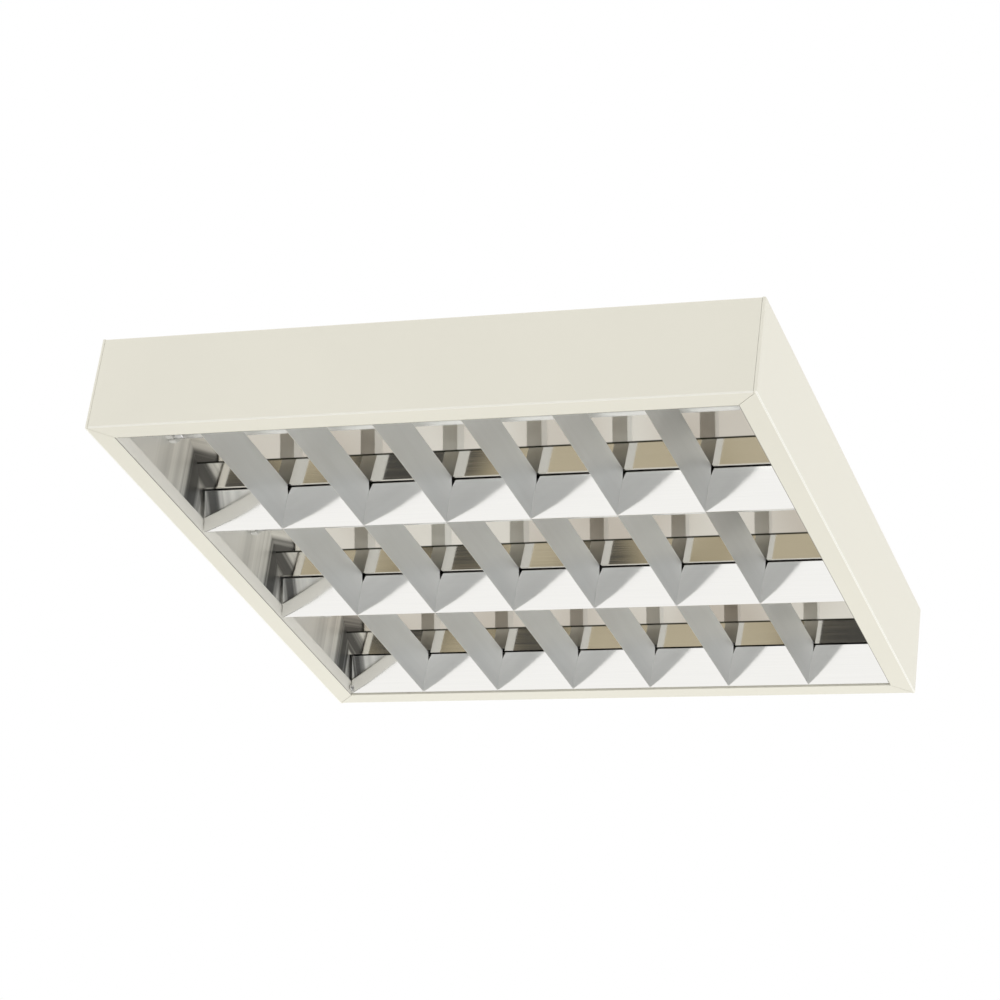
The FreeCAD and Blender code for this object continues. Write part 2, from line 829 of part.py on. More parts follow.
def terminal_block():
    body = new_body("terminal_block")
    half = size("block_length") / 2
    wide = size("block_width") / 2
    low = ceiling - size("block_height")
    block = new_sketch(body, "XY_Plane", low)
    draw_box(block, -half, -wide, half, wide)
    pad(body, block, size("block_height"))
    screws = new_sketch(body, "XY_Plane", low)
    wires = new_sketch(body, "XZ_Plane")
    pit = size("pole_hole") / 2
    window = size("wire_window") / 2
    middle = low + size("block_height") / 2
    for pole in (-1, 0, 1):
        along = size("pole_pitch") * pole
        draw_box(screws, along - pit, -pit, along + pit, pit)
        draw_box(wires, along - window, middle - window, along + window, middle + window)
    cut(body, screws, size("pole_depth") * 2)
    cut(body, wires, size("block_width") + OVERSHOOT)
    put(body, -size("block_offset"), -valley_y)
    return keep(body, "terminal_block")


def earth_terminal():
    """Welded stud with its nut under the top of the case."""
    body = new_body("earth_terminal")
    stud = new_sketch(body, "XY_Plane", ceiling - size("earth_length"))
    draw_circle(stud, 0, 0, size("screw_radius"))
    pad(body, stud, size("earth_length"))
    nut = new_sketch(body, "XY_Plane", ceiling - size("earth_nut_height"))
    draw_hexagon(nut, 0, size("earth_nut"))
    pad(body, nut, size("earth_nut_height"))
    put(body, -size("earth_offset"), -valley_y)
    return keep(body, "earth_terminal")


def cable_grommet():
    """Rubber bush pressed into the entry hole, its shoulder in the recess."""
    body = new_body("cable_grommet")
    bore = size("entry_bore") / 2
    neck = size("entry_hole") / 2
    rim = neck + size("entry_flange")
    upper = -size("recess_depth")
    lower = upper - sheet
    lip = size("entry_lip")
    points = [(bore, lower - lip), (neck, lower - lip), (neck, upper)]
    points += [(rim, upper), (rim, upper + lip), (bore, upper + lip)]
    sketch = new_sketch(body, "XZ_Plane")
    draw_loop(sketch, points)
    ring = body.newObject("PartDesign::Revolution", "grommet_ring")
    ring.Profile = sketch
    ring.ReferenceAxis = (sketch, ["V_Axis"])
    ring.Angle = 360
    body.Tip = ring
    put(body, -size("entry_offset"), -valley_y)
    return keep(body, "cable_grommet")


# ------------------------------------------------------------------- build


def build_casing():
    housing_tray()
    for side, name in side_names:
        hinge_holes(end_plate(side, name), side)
        lampholder_bracket(side, name)
        end_reflector(side, name)
        catch_spring(side, name)
    angles = [corner_angle(right, back) for right in (-1, 1) for back in (-1, 1)]
    group("corner_angles", angles)


def build_gear():
    ballast_case()
    terminal_block()
    earth_terminal()
    cable_grommet()
    places = [place for side in (-1, 1) for place in bracket_screw_places(side)]
    group("bracket_screws", [screw(along, across, sheet) for along, across in places])
    places = ballast_screw_places()
    foot = size("foot_thickness")
    group("ballast_screws", [screw(along, across, foot) for along, across in places])


def build_lamps():
    for row in range(ROWS):
        upper_reflector(row)
        lamp_tube(row)
        group(f"lamp_caps_{row_names[row]}", [lamp_cap(row, side) for side, _ in side_names])
        group(f"lamp_rotors_{row_names[row]}", [lamp_rotor(row, side) for side, _ in side_names])
        for side, name in side_names:
            lampholder(row, side, name)


def build_louver():
    edge_profile(-1, "louver_profile_front")
    edge_profile(1, "louver_profile_back")
    for number in range(ROWS - 1):
        middle_profile(number)
    for row in range(ROWS):
        for column in range(CELLS - 1):
            cross_blade(row, column)
    for side, name in side_names:
        hinge_pin(side, name)


def check_and_export():
    """Stop on any failed object or unsound shape, then write the nodes."""
    doc.recompute()
    failed = [item.Name for item in doc.Objects
              if "Invalid" in item.State or "Error" in item.State]
    if failed:
        raise RuntimeError("failed objects: " + ", ".join(failed))
    for node in nodes:
        if node.Shape.isNull() or not node.Shape.isValid() or not node.Shape.Solids:
            raise RuntimeError(f"{node.Label} has no sound shape")
    os.makedirs("parts", exist_ok=True)
    for node in nodes:
        node.Shape.exportStep(f"parts/{node.Label}.step")
    print(f"{len(nodes)} nodes written")


build_casing()
build_gear()
build_lamps()
build_louver()
check_and_export()
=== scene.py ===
"""Finishes of a square ceiling light with a parabolic V louver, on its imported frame."""

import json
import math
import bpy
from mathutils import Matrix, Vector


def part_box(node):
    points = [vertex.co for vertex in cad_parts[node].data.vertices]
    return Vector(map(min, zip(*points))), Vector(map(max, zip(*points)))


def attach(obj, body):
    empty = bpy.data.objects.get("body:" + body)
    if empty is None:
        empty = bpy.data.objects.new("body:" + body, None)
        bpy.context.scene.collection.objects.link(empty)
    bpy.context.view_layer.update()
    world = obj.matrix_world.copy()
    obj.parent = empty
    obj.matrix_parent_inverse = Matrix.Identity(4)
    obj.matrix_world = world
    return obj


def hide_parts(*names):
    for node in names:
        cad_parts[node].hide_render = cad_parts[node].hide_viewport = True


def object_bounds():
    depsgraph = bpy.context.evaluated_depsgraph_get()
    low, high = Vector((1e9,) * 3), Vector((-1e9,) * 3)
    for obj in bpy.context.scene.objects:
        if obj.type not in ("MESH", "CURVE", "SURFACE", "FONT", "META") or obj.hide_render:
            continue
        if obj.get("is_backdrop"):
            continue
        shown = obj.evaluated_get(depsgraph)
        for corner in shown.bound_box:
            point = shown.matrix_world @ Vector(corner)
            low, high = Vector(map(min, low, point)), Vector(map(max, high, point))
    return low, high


bl_info = {
    "name": "Louver Ceiling Light",
    "version": (1, 0, 0),
    "blender": (4, 5, 0),
    "location": "View3D > Sidebar > Ceiling Light",
    "description": "Dresses the case, louver, lamps and gear of a square louver light",
    "category": "Object",
}

import bmesh
import bpy
from mathutils import Euler, Matrix, Vector

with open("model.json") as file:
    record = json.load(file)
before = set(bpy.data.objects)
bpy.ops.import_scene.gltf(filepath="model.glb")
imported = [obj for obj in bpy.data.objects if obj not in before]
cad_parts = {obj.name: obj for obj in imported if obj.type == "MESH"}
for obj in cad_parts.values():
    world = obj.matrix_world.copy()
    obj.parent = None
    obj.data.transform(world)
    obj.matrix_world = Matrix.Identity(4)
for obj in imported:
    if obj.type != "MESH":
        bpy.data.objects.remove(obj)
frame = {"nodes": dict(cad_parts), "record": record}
LOW, HIGH = (Vector(corner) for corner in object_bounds())
NODES = frame["nodes"]
MM = 0.001
ROWS = ("front", "middle", "back")
SIDES = ("left", "right")
FLANGE = 20.0 * MM
OPENING_X = HIGH.x - FLANGE
OPENING_Y = HIGH.y - FLANGE
ROW_PITCH = OPENING_Y * 2 / len(ROWS)
SEAM_Z = LOW.z + 56.0 * MM

# How far sharp edges roll over, and in how many steps.
FINE_ROLL = 0.2 * MM
SHEET_ROLL = 0.3 * MM
MOULDED_ROLL = 0.4 * MM
ROLL_STEPS = 2

# Angles in degrees: where an edge is sharp enough to roll, where shading breaks on plain and
# on mirrored pieces, and up to where triangles join into one flat face.
SHARP_EDGE = 25.0
SOFT_SHADING = 30.0
FLAT_SHADING = 12.0
FLAT_FACE = 0.8
WELD = 0.002 * MM

# Stretch of the rolling lines along X, and how deep the textures go.
ROLLING = (4.0, 320.0, 320.0)
SKIN_DEPTH = 0.1 * MM
GRAIN_DEPTH = 0.05 * MM

# Colours of details that the sidebar doesn't offer.
# Painted highlight along the outer bends of the case.
PAINTED_BEND_HIGHLIGHT = (0.94, 0.935, 0.88)
# Painted light: paler colour for the lip, which has the same paint as the rest of the plate.
PAINTED_LIP_LIGHT = (0.96, 0.95, 0.90)
# Painted shade in a thin line where the lip meets the flange.
SEAM_SHADE = (0.16, 0.15, 0.13)
# Painted shade in a thin line along the folded seam of the troughs.
FOLD_SHADE = (0.05, 0.05, 0.04)
# Painted highlight along the folded foot of the blades.
PAINTED_FOOT_HIGHLIGHT = (1.0, 0.99, 0.96)
# Duller tone of painted reflection, in patches on the trough facets above the seam.
PAINTED_REFLECTION_TONE = (0.64, 0.59, 0.53)
ZINC_DULL = (0.50, 0.51, 0.52)
ZINC_BRIGHT = (0.66, 0.67, 0.68)
PHOSPHOR = (0.86, 0.87, 0.85)
GREYED = (0.36, 0.35, 0.34)
CARD_BLACK = (0.03, 0.03, 0.028)
CARD_OLIVE = (0.33, 0.285, 0.185)
CARD_SAND = (0.48, 0.43, 0.32)
SKY_TINT = (1.0, 0.99, 0.97, 1)
WHITE = (1, 1, 1, 1)

# Places and half sizes of the floor and cards, and where the lamp hangs and aims.
FLOOR_HALF = (4.0, 4.0)
MIRROR_CARD_PLACE = (-1.2, -1.85)
MIRROR_CARD_HALF = (0.95, 0.65)
MIRROR_CARD_LIFT = 10.0 * MM
BLADE_CARD_PLACE = (2.2, -4.4, -1.2)
BLADE_CARD_HALF = (1.7, 1.15)
KEY_PLACE = (0.0, 0.65, -2.35)
KEY_AIM = (0.0, 0.3, -0.05)
KEY_WIDTH = 3.6


# ------------------------------------------------------------ shader maths


class Signal:
    """A shader socket that takes part in ordinary Python arithmetic."""

    def __init__(self, graph, socket):
        self.graph = graph
        self.socket = socket

    def maths(self, operation, first, second):
        return self.graph.node("ShaderNodeMath", {"operation": operation}, {0: first, 1: second})

    def __add__(self, other):
        return self.maths("ADD", self, other)

    def __radd__(self, other):
        return self.maths("ADD", other, self)

    def __sub__(self, other):
        return self.maths("SUBTRACT", self, other)

    def __rsub__(self, other):
        return self.maths("SUBTRACT", other, self)

    def __mul__(self, other):
        return self.maths("MULTIPLY", self, other)

    def __rmul__(self, other):
        return self.maths("MULTIPLY", other, self)

    def __truediv__(self, other):
        return self.maths("DIVIDE", self, other)

    def __pow__(self, other):
        return self.maths("POWER", self, other)


class Graph:
    """A node tree under construction."""

    def __init__(self, tree):
        self.tree = tree

    def node(self, kind, settings=None, inputs=None, output=0):
        """Add a node: its settings first, then the values or links of its sockets."""
        made = self.tree.nodes.new(kind)
        for label, value in (settings or {}).items():
            setattr(made, label, value)
        for label, value in (inputs or {}).items():
            if isinstance(value, Signal):
                self.tree.links.new(value.socket, made.inputs[label])
            else:
                made.inputs[label].default_value = value
        return Signal(self, made.outputs[output])


class Finish(Graph):
    """One material under construction, with its Principled shader."""

    def __init__(self, name, **fixed):
        self.material = bpy.data.materials.new(name)
        self.material.use_nodes = True
        super().__init__(self.material.node_tree)
        self.shader = self.tree.nodes["Principled BSDF"]
        for label, value in fixed.items():
            self.shader.inputs[label.replace("_", " ")].default_value = value

    def place(self):
        return self.node("ShaderNodeTexCoord", output="Object")

    def stretched(self, scale):
        return self.node("ShaderNodeMapping", None, {"Vector": self.place(), "Scale": scale})

    def noise(self, vector, scale, detail=3.0, roughness=0.5):
        values = {"Vector": vector, "Scale": scale, "Detail": detail, "Roughness": roughness}
        return self.node("ShaderNodeTexNoise", None, values)

    def axis(self, name):
        return self.node("ShaderNodeSeparateXYZ", None, {0: self.place()}, name)

    def size_of(self, value):
        return self.node("ShaderNodeMath", {"operation": "ABSOLUTE"}, {0: value})

    def from_line(self, axis, edge):
        """Distance from the two bottom lines that lie at plus and minus edge on an axis."""
        out = self.size_of(self.axis(axis)) - edge
        up = self.axis("Z") - LOW.z
        return (out * out + up * up) ** 0.5

    def ramp(self, value, *stops):
        """Colour that runs through (place, colour) stops."""
        tone = stops[0][1]
        for (before, _), (after, color) in zip(stops, stops[1:]):
            tone = self.blend(self.spread(value, before, after), tone, color)
        return tone

    def spread(self, value, low, high, to_low=0.0, to_high=1.0):
        values = {0: value, 1: low, 2: high, 3: to_low, 4: to_high}
        return self.node("ShaderNodeMapRange", {"clamp": True}, values)

    def blend(self, factor, first, second):
        values = {0: factor, 6: (*first, 1) if isinstance(first, tuple) else first,
                  7: (*second, 1) if isinstance(second, tuple) else second}
        return self.node("ShaderNodeMix", {"data_type": "RGBA"}, values, output=2)

    def bump(self, height, strength, distance):
        values = {"Height": height, "Strength": strength, "Distance": distance}
        return self.node("ShaderNodeBump", None, values)

    def drive(self, **signals):
        for label, signal in signals.items():
            self.tree.links.new(signal.socket, self.shader.inputs[label.replace("_", " ")])
        return self.material


def shade(color, share):
    return tuple(channel * share for channel in color)


def powder_coat(name, color, roughness=0.42, bend=None, lipped=False):
    """Semi-matt powder coat with a fine orange-peel skin.

    A painted highlight runs along its outer bend across the named axis. A lipped plate has its
    lip round the opening coloured paler as painted light, and a dark line of painted shade
    where the lip meets the flange.
    """
    look = Finish(name, Specular_IOR_Level=0.4)
    peel = look.noise(look.place(), 900.0, 2.0)
    cloud = look.noise(look.place(), 9.0, 3.0)
    tone = look.blend(look.spread(cloud, 0.35, 0.65), shade(color, 0.985), color)
    gloss = look.spread(cloud, 0.3, 0.7, roughness - 0.04, roughness + 0.05)
    if bend:
        # Painted highlight: paler colour along the outer bend, fading out by 1.6 mm from it.
        from_bend = look.from_line(bend, getattr(HIGH, bend.lower()))
        tone = look.ramp(from_bend, (0.8 * MM, PAINTED_BEND_HIGHLIGHT), (1.6 * MM, tone))
    if lipped:
        # Painted light: the lip round the opening is coloured paler than the rest of the plate.
        outside = look.size_of(look.axis("X")) - OPENING_X
        tone = look.blend(look.spread(outside, 0.4 * MM, 0.2 * MM), tone, PAINTED_LIP_LIGHT)
        # Painted shade: a thin dark line where the lip meets the flange.
        from_seam = look.from_line("X", OPENING_X)
        tone = look.ramp(from_seam, (0.25 * MM, SEAM_SHADE), (0.6 * MM, tone))
    return look.drive(Base_Color=tone, Roughness=gloss, Normal=look.bump(peel, 0.05, SKIN_DEPTH))


def rolled_metal(name, color, roughness, grain):
    """Rolled sheet metal: fine lines along the rolling direction and soft clouds."""
    look = Finish(name, Metallic=1.0)
    lines = look.noise(look.stretched(ROLLING), 3.0, 3.0)
    cloud = look.noise(look.place(), 6.0, 2.0)
    mixed = lines * 0.7 + cloud * 0.3
    tone = look.blend(look.spread(mixed, 0.35, 0.65), shade(color, 1 - grain), color)
    gloss = look.spread(mixed, 0.3, 0.7, roughness * 0.75, roughness * 1.3)
    return look.drive(Base_Color=tone, Roughness=gloss,
                      Normal=look.bump(lines, grain, GRAIN_DEPTH))


def trough_mirror(name, color):
    """Bright faceted trough, with patches of painted reflection above its folded seam and
    painted shade along it.
    """
    look = Finish(name, Metallic=1.0)
    # Painted reflection: patches of a duller tone above the seam.
    reflection_patches = look.noise(look.stretched((9.0, 5.0, 6.0)), 1.0, 1.0)
    above = look.ramp(reflection_patches, (0.35, PAINTED_REFLECTION_TONE), (0.6, color))
    height = look.axis("Z") - SEAM_Z
    tone = look.ramp(height, (-0.2 * MM, shade(color, 0.96)), (0.2 * MM, above))
    # Painted shade: a thin dark line along the folded seam.
    tone = look.ramp(look.size_of(height), (0.3 * MM, FOLD_SHADE), (0.8 * MM, tone))
    lines = look.noise(look.stretched(ROLLING), 3.0, 3.0)
    return look.drive(Base_Color=tone, Roughness=look.spread(lines, 0.3, 0.7, 0.05, 0.09))


def satin_blade(name, color, foot):
    """Even satin sheet with a painted highlight along its folded foot."""
    look = Finish(name, Metallic=1.0)
    lines = look.noise(look.stretched((60.0, 3.0, 60.0)), 3.0, 2.0)
    tone = look.blend(look.spread(lines, 0.35, 0.65), shade(color, 0.97), color)
    # Painted highlight: paler colour within a millimetre of the foot.
    height = look.axis("Z") - foot
    tone = look.ramp(height, (0.5 * MM, PAINTED_FOOT_HIGHLIGHT), (0.8 * MM, tone))
    return look.drive(Base_Color=tone, Roughness=look.spread(lines, 0.3, 0.7, 0.38, 0.42))


def satin_mirror(name, color):
    """End mirror: upright brushing, with painted reflection in dim bands and a dark band before
    each long profile.
    """
    look = Finish(name, Metallic=1.0)
    row = (look.axis("Y") + OPENING_Y) / ROW_PITCH
    part = look.node("ShaderNodeMath", {"operation": "FRACT"}, {0: row})
    brush = look.noise(look.stretched((1.0, 190.0, 2.5)), 1.0, 3.0)
    part = part + (brush - 0.5) * 0.12
    # Painted reflection: dim bands and a dark band across each row, just before its long
    # profile.
    dim = shade(color, 0.8)
    dark = shade(color, 0.12)
    tone = look.ramp(part, (0.40, color), (0.53, dim), (0.60, color), (0.66, dim), (0.70, color),
                     (0.79, dark), (0.86, dark), (0.93, dim))
    gloss = look.spread(brush, 0.3, 0.7, 0.45, 0.55)
    return look.drive(Base_Color=tone, Roughness=gloss)


def mottled_card(name, floor):
    """Card whose dark patches only the mirrors see, while the camera sees plain floor."""
    look = Finish(name, Roughness=0.7, Specular_IOR_Level=0.45)
    patch = look.noise(look.stretched((3.4, 2.2, 1.0)), 1.0, 1.5)
    tone = look.ramp(patch, (0.43, CARD_BLACK), (0.47, CARD_OLIVE), (0.56, CARD_SAND))
    seen = look.node("ShaderNodeLightPath", output="Is Camera Ray")
    return look.drive(Base_Color=look.blend(seen, tone, floor))


def grey_card(name, color):
    """Plain card that the mirrors see and the camera looks through."""
    look = Finish(name, Base_Color=(*color, 1), Roughness=0.8, Specular_IOR_Level=0.2)
    seen = look.node("ShaderNodeLightPath", output="Is Camera Ray")
    return look.drive(Alpha=1.0 - seen)


def moulded(name, color, roughness):
    """Moulded plastic or rubber with a faint cloudy sheen and spark texture."""
    look = Finish(name, Specular_IOR_Level=0.45)
    spark = look.noise(look.place(), 1400.0, 1.0)
    cloud = look.noise(look.place(), 60.0, 3.0)
    tone = look.blend(look.spread(cloud, 0.35, 0.65), shade(color, 0.95), color)
    gloss = look.spread(cloud, 0.3, 0.7, roughness * 0.85, roughness * 1.15)
    return look.drive(Base_Color=tone, Roughness=gloss,
                      Normal=look.bump(spark, 0.04, SKIN_DEPTH))


def zinc_plate(name):
    """Hot dipped sheet with its spangle."""
    look = Finish(name, Metallic=0.9)
    cells = look.node("ShaderNodeTexVoronoi", None, {"Vector": look.place(), "Scale": 160.0},
                      output="Color")
    spangle = look.node("ShaderNodeSeparateColor", None, {0: cells})
    tone = look.blend(spangle, ZINC_DULL, ZINC_BRIGHT)
    return look.drive(Base_Color=tone, Roughness=look.spread(spangle, 0.0, 1.0, 0.32, 0.5))


def lamp_glass(name, reach):
    """Phosphor white tube that greys towards its two ends."""
    look = Finish(name, Coat_Weight=0.6, Coat_Roughness=0.04, Roughness=0.35)
    ends = look.spread(look.size_of(look.axis("X")), reach - 22.0 * MM, reach - 2.0 * MM)
    speckle = look.noise(look.place(), 500.0, 2.0)
    dusk = ends * look.spread(speckle, 0.2, 0.7, 0.5, 1.0)
    tone = look.blend(dusk, PHOSPHOR, GREYED)
    return look.drive(Base_Color=tone, Roughness=look.spread(speckle, 0.3, 0.7, 0.28, 0.4))


# ------------------------------------------------------------------ pieces


def link(piece):
    bpy.context.scene.collection.objects.link(piece)
    return piece


def body_name(node):
    bodies = frame["record"]["behaviour"]["bodies"]
    for body, names in bodies.items():
        if node in names:
            return body
    raise RuntimeError(f"{node} is on no body")


def paint(node, material):
    """Give a CAD node, whose shape stays as it is, a finished material."""
    slots = NODES[node].data.materials
    slots.clear()
    slots.append(material)


def merged_copy(node):
    """The node's triangles as one closed mesh with whole flat faces."""
    shape = bmesh.new()
    shape.from_mesh(NODES[node].data)
    bmesh.ops.remove_doubles(shape, verts=shape.verts, dist=WELD)
    bmesh.ops.dissolve_limit(shape, angle_limit=math.radians(FLAT_FACE), verts=shape.verts,
                             edges=shape.edges, use_dissolve_boundaries=False)
    return shape


def dress(name, shape, material, body, node, shading):
    """Turn a finished bmesh into the piece that stands for a node."""
    mesh = bpy.data.meshes.new(name)
    shape.normal_update()
    shape.to_mesh(mesh)
    shape.free()
    for face in mesh.polygons:
        face.use_smooth = True
    mesh.set_sharp_from_angle(angle=math.radians(shading))
    mesh.materials.append(material)
    piece = link(bpy.data.objects.new(name, mesh))
    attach(piece, body)
    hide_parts(node)


def softened(node, material, roll, shading=SOFT_SHADING):
    """Stand in for a node with a copy whose sharp edges are rolled over."""
    shape = merged_copy(node)
    sharp = [edge for edge in shape.edges if len(edge.link_faces) == 2
             and edge.calc_face_angle(0) > math.radians(SHARP_EDGE)]
    bmesh.ops.bevel(shape, geom=sharp, offset=roll, offset_type="OFFSET", affect="EDGES",
                    segments=ROLL_STEPS, profile=0.5, material=-1, clamp_overlap=True)
    dress(f"{node}_finish", shape, material, body_name(node), node, shading)


# -------------------------------------------------------------- properties


class CeilingLightCase(bpy.types.PropertyGroup):
    paint: bpy.props.FloatVectorProperty(
        name="Paint", description="Colour of the powder coat", subtype="COLOR", size=3,
        default=(0.80, 0.785, 0.70))


class CeilingLightOptics(bpy.types.PropertyGroup):
    blade: bpy.props.FloatVectorProperty(
        name="Blades", description="Colour of the semi-specular blades", subtype="COLOR", size=3,
        default=(0.82, 0.835, 0.84))
    profile: bpy.props.FloatVectorProperty(
        name="Profiles", description="Colour of the specular long profiles", subtype="COLOR",
        size=3, default=(0.90, 0.90, 0.89))
    mirror: bpy.props.FloatVectorProperty(
        name="Mirror", description="Colour of the bright troughs", subtype="COLOR", size=3,
        default=(0.86, 0.84, 0.79))
    ends: bpy.props.FloatVectorProperty(
        name="Ends", description="Colour of the satin end mirrors", subtype="COLOR", size=3,
        default=(0.96, 0.96, 0.94))
    edge: bpy.props.FloatProperty(
        name="Edge radius", description="Roll of the folded edges", subtype="DISTANCE",
        unit="LENGTH", default=0.22 * MM)


class CeilingLightStudio(bpy.types.PropertyGroup):
    eye: bpy.props.FloatVectorProperty(
        name="Camera", description="Place of the camera", subtype="XYZ", unit="LENGTH", size=3,
        default=(0.929, -2.308, -1.232))
    turn: bpy.props.FloatVectorProperty(
        name="Turn", description="Rotation of the camera", subtype="EULER", size=3,
        default=tuple(math.radians(angle) for angle in (116.13, -7.09, 19.11)))
    lens: bpy.props.FloatProperty(
        name="Lens", description="Focal length in millimetres", unit="CAMERA", default=108.1)
    drop: bpy.props.FloatProperty(
        name="Floor", description="Depth of the floor below the ceiling", subtype="DISTANCE",
        unit="LENGTH", default=2.4)
    pale: bpy.props.FloatVectorProperty(
        name="Floor colour", description="Colour of the floor", subtype="COLOR", size=3,
        default=(0.74, 0.735, 0.71))
    grey: bpy.props.FloatVectorProperty(
        name="Card colour", description="Colour of the card that the blades mirror",
        subtype="COLOR", size=3, default=(0.47, 0.47, 0.465))
    key: bpy.props.FloatProperty(
        name="Key lamp", description="Power of the large lamp below", unit="POWER",
        default=35.0)
    sky: bpy.props.FloatProperty(
        name="Sky", description="Strength of the even light from all round", default=1.08)


# --------------------------------------------------------------- operators


class CEILINGLIGHT_OT_case(bpy.types.Operator):
    """Powder coat the tray and the two end plates"""
    bl_idname = "ceilinglight.case"
    bl_label = "Case"

    def execute(self, context):
        color = tuple(context.scene.light_case.paint)
        paint("housing_tray", powder_coat("cream_powder_coat", color, bend="Y"))
        lipped = powder_coat("cream_powder_coat_painted_lip_and_seam", color, bend="X", lipped=True)
        for side in SIDES:
            paint(f"end_plate_{side}", lipped)
        return {"FINISHED"}


class CEILINGLIGHT_OT_reflectors(bpy.types.Operator):
    """Bright troughs over the lamps and the end mirrors"""
    bl_idname = "ceilinglight.reflectors"
    bl_label = "Reflectors"

    def execute(self, context):
        look = context.scene.light_optics
        bright = trough_mirror("bright_reflector", tuple(look.mirror))
        ends = satin_mirror("end_mirror", tuple(look.ends))
        for row in ROWS:
            paint(f"upper_reflector_{row}", bright)
        for side in SIDES:
            paint(f"end_reflector_{side}", ends)
        return {"FINISHED"}


class CEILINGLIGHT_OT_louver(bpy.types.Operator):
    """Long profiles and cross blades with rolled edges"""
    bl_idname = "ceilinglight.louver"
    bl_label = "Louver"

    def execute(self, context):
        look = context.scene.light_optics
        foot = min(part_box(node)[0][2] for node in NODES if node.startswith("louver_blade"))
        satin = satin_blade("semi_specular_blade", tuple(look.blade), foot)
        gloss = rolled_metal("specular_profile", tuple(look.profile), 0.07, 0.02)
        for node in sorted(NODES):
            if node.startswith("louver_blade"):
                softened(node, satin, look.edge, FLAT_SHADING)
            elif node.startswith("louver_profile"):
                softened(node, gloss, look.edge, FLAT_SHADING)
        return {"FINISHED"}


class CEILINGLIGHT_OT_lamps(bpy.types.Operator):
    """Tubes, caps and the turning inserts of the holders"""
    bl_idname = "ceilinglight.lamps"
    bl_label = "Lamps"

    def execute(self, context):
        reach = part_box("lamp_tube_front")[1][0]
        glass = lamp_glass("phosphor_glass", reach)
        cap = rolled_metal("cap_metal", (0.72, 0.72, 0.73), 0.25, 0.06)
        insert = moulded("rotor_plastic", (0.80, 0.80, 0.78), 0.3)
        for row in ROWS:
            softened(f"lamp_tube_{row}", glass, FINE_ROLL)
            softened(f"lamp_caps_{row}", cap, MOULDED_ROLL)
            softened(f"lamp_rotors_{row}", insert, FINE_ROLL)
        return {"FINISHED"}


class CEILINGLIGHT_OT_holders(bpy.types.Operator):
    """Lampholders and the brackets behind the end mirrors"""
    bl_idname = "ceilinglight.holders"
    bl_label = "Lampholders"

    def execute(self, context):
        plastic = moulded("holder_plastic", (0.78, 0.78, 0.75), 0.45)
        zinc = zinc_plate("zinc_plate")
        for side in SIDES:
            paint(f"lampholder_bracket_{side}", zinc)
            for row in ROWS:
                softened(f"lampholder_{row}_{side}", plastic, MOULDED_ROLL)
        paint("corner_angles", zinc)
        return {"FINISHED"}


class CEILINGLIGHT_OT_gear(bpy.types.Operator):
    """Ballast, terminals, grommet, screws, pins and springs"""
    bl_idname = "ceilinglight.gear"
    bl_label = "Control gear"

    def execute(self, context):
        bright = rolled_metal("bright_steel", (0.68, 0.68, 0.69), 0.22, 0.05)
        coat = powder_coat("ballast_coat", (0.80, 0.80, 0.79))
        nylon = moulded("terminal_nylon", (0.80, 0.79, 0.74), 0.5)
        brass = rolled_metal("earth_brass", (0.75, 0.56, 0.27), 0.25, 0.06)
        rubber = moulded("grommet_rubber", (0.03, 0.03, 0.03), 0.6)
        softened("ballast_case", coat, SHEET_ROLL)
        softened("terminal_block", nylon, MOULDED_ROLL)
        softened("earth_terminal", brass, FINE_ROLL)
        softened("cable_grommet", rubber, MOULDED_ROLL)
        for node in ("bracket_screws", "ballast_screws", "hinge_pin_left", "hinge_pin_right",
                     "catch_spring_left", "catch_spring_right"):
            paint(node, bright)
        return {"FINISHED"}


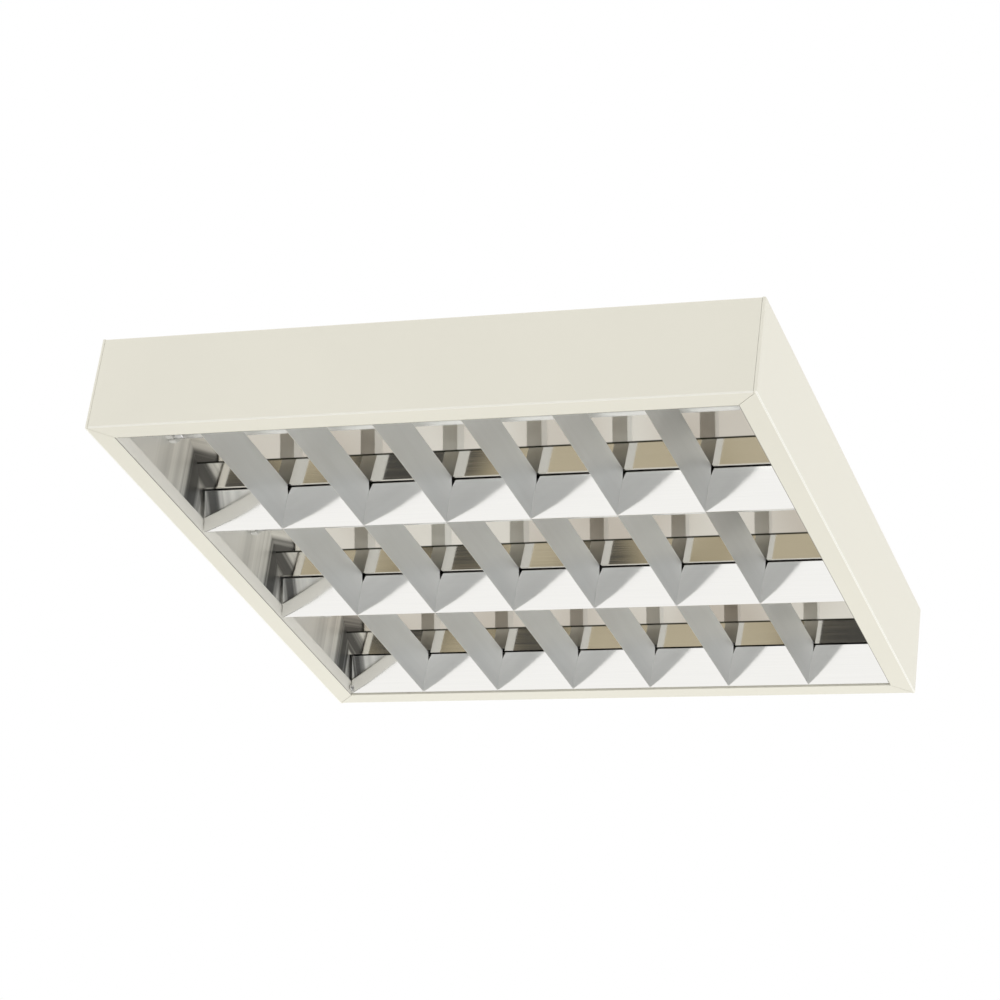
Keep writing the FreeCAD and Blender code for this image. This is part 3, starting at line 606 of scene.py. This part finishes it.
class CEILINGLIGHT_OT_studio(bpy.types.Operator):
    """Floor, cards for the mirrors, white surround, soft lamp and camera"""
    bl_idname = "ceilinglight.studio"
    bl_label = "Studio"

    def execute(self, context):
        look = context.scene.light_studio
        floor = -look.drop
        pale = tuple(look.pale)
        self.sheet("studio_floor", (0.0, 0.0, floor), FLOOR_HALF,
                   moulded("pale_floor", pale, 0.7))
        self.sheet("mirror_card", (*MIRROR_CARD_PLACE, floor + MIRROR_CARD_LIFT),
                   MIRROR_CARD_HALF, mottled_card("mottled_card", pale))
        self.sheet("blade_card", BLADE_CARD_PLACE, BLADE_CARD_HALF,
                   grey_card("grey_card", tuple(look.grey)), math.radians(90.0))
        self.surround(context.scene, look.sky)
        self.key_lamp(look.key)
        self.camera(context.scene, look)
        context.scene.view_settings.view_transform = "Standard"
        return {"FINISHED"}

    def sheet(self, name, center, size, material, tilt=0.0):
        """A flat stage piece of twice the given half sizes, tilted about its X line."""
        shape = bmesh.new()
        bmesh.ops.create_grid(shape, x_segments=1, y_segments=1, size=1.0)
        bmesh.ops.scale(shape, verts=shape.verts, vec=(*size, 1.0))
        bmesh.ops.rotate(shape, verts=shape.verts, matrix=Matrix.Rotation(tilt, 3, "X"))
        bmesh.ops.translate(shape, verts=shape.verts, vec=center)
        mesh = bpy.data.meshes.new(name)
        shape.to_mesh(mesh)
        shape.free()
        mesh.materials.append(material)
        link(bpy.data.objects.new(name, mesh))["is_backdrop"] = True

    def surround(self, scene, strength):
        """White to the camera, to metal and to glass, and an even light of its own strength."""
        world = bpy.data.worlds.new("white_surround")
        world.use_nodes = True
        graph = Graph(world.node_tree)
        graph.tree.nodes.remove(graph.tree.nodes["Background"])
        camera, glossy, clear = (
            graph.node("ShaderNodeLightPath", output=f"Is {kind} Ray")
            for kind in ("Camera", "Glossy", "Transmission"))
        seen = self.larger(graph, self.larger(graph, camera, glossy), clear)
        level = graph.node("ShaderNodeMapRange", None, {0: seen, 3: strength, 4: 1.0})
        plain = graph.node("ShaderNodeBackground", None, {"Color": SKY_TINT, "Strength": level})
        white = graph.node("ShaderNodeBackground", None, {"Color": WHITE})
        pick = graph.node("ShaderNodeMixShader", None, {0: camera, 1: plain, 2: white})
        graph.tree.links.new(pick.socket, graph.tree.nodes["World Output"].inputs["Surface"])
        scene.world = world

    def larger(self, graph, first, second):
        return graph.node("ShaderNodeMath", {"operation": "MAXIMUM"}, {0: first, 1: second})

    def key_lamp(self, power):
        light = bpy.data.lights.new("key_lamp", "AREA")
        light.size = KEY_WIDTH
        light.energy = power
        lamp = link(bpy.data.objects.new("key_lamp", light))
        lamp.location = KEY_PLACE
        aim = Vector(KEY_AIM) - Vector(KEY_PLACE)
        lamp.rotation_euler = aim.to_track_quat("-Z", "Y").to_euler()

    def camera(self, scene, look):
        lens = bpy.data.cameras.new("photo_camera")
        lens.lens = look.lens
        lens.sensor_width = 36.0
        lens.clip_end = 50.0
        eye = link(bpy.data.objects.new("photo_camera", lens))
        eye.location = look.eye
        eye.rotation_euler = Euler(look.turn)
        scene.camera = eye


class CEILINGLIGHT_PT_panel(bpy.types.Panel):
    """Lists the sizes, colours and steps of the light"""
    bl_label = "Ceiling Light"
    bl_idname = "CEILINGLIGHT_PT_panel"
    bl_space_type = "VIEW_3D"
    bl_region_type = "UI"
    bl_category = "Ceiling Light"

    def draw(self, context):
        for group in ("light_case", "light_optics", "light_studio"):
            settings = getattr(context.scene, group)
            for label in settings.__annotations__:
                self.layout.prop(settings, label)
        for step in STEPS:
            self.layout.operator(step.bl_idname)


STEPS = (
    CEILINGLIGHT_OT_case,
    CEILINGLIGHT_OT_reflectors,
    CEILINGLIGHT_OT_louver,
    CEILINGLIGHT_OT_lamps,
    CEILINGLIGHT_OT_holders,
    CEILINGLIGHT_OT_gear,
    CEILINGLIGHT_OT_studio,
)
GROUPS = {
    "light_case": CeilingLightCase,
    "light_optics": CeilingLightOptics,
    "light_studio": CeilingLightStudio,
}


def register():
    for group in (*GROUPS.values(), *STEPS, CEILINGLIGHT_PT_panel):
        bpy.utils.register_class(group)
    for label, group in GROUPS.items():
        setattr(bpy.types.Scene, label, bpy.props.PointerProperty(type=group))


def unregister():
    for label in GROUPS:
        delattr(bpy.types.Scene, label)
    for group in reversed((*GROUPS.values(), *STEPS, CEILINGLIGHT_PT_panel)):
        bpy.utils.unregister_class(group)


def main():
    register()
    for step in STEPS:
        getattr(bpy.ops.ceilinglight, step.bl_idname.split(".")[1])()


if __name__ == "__main__":
    main()
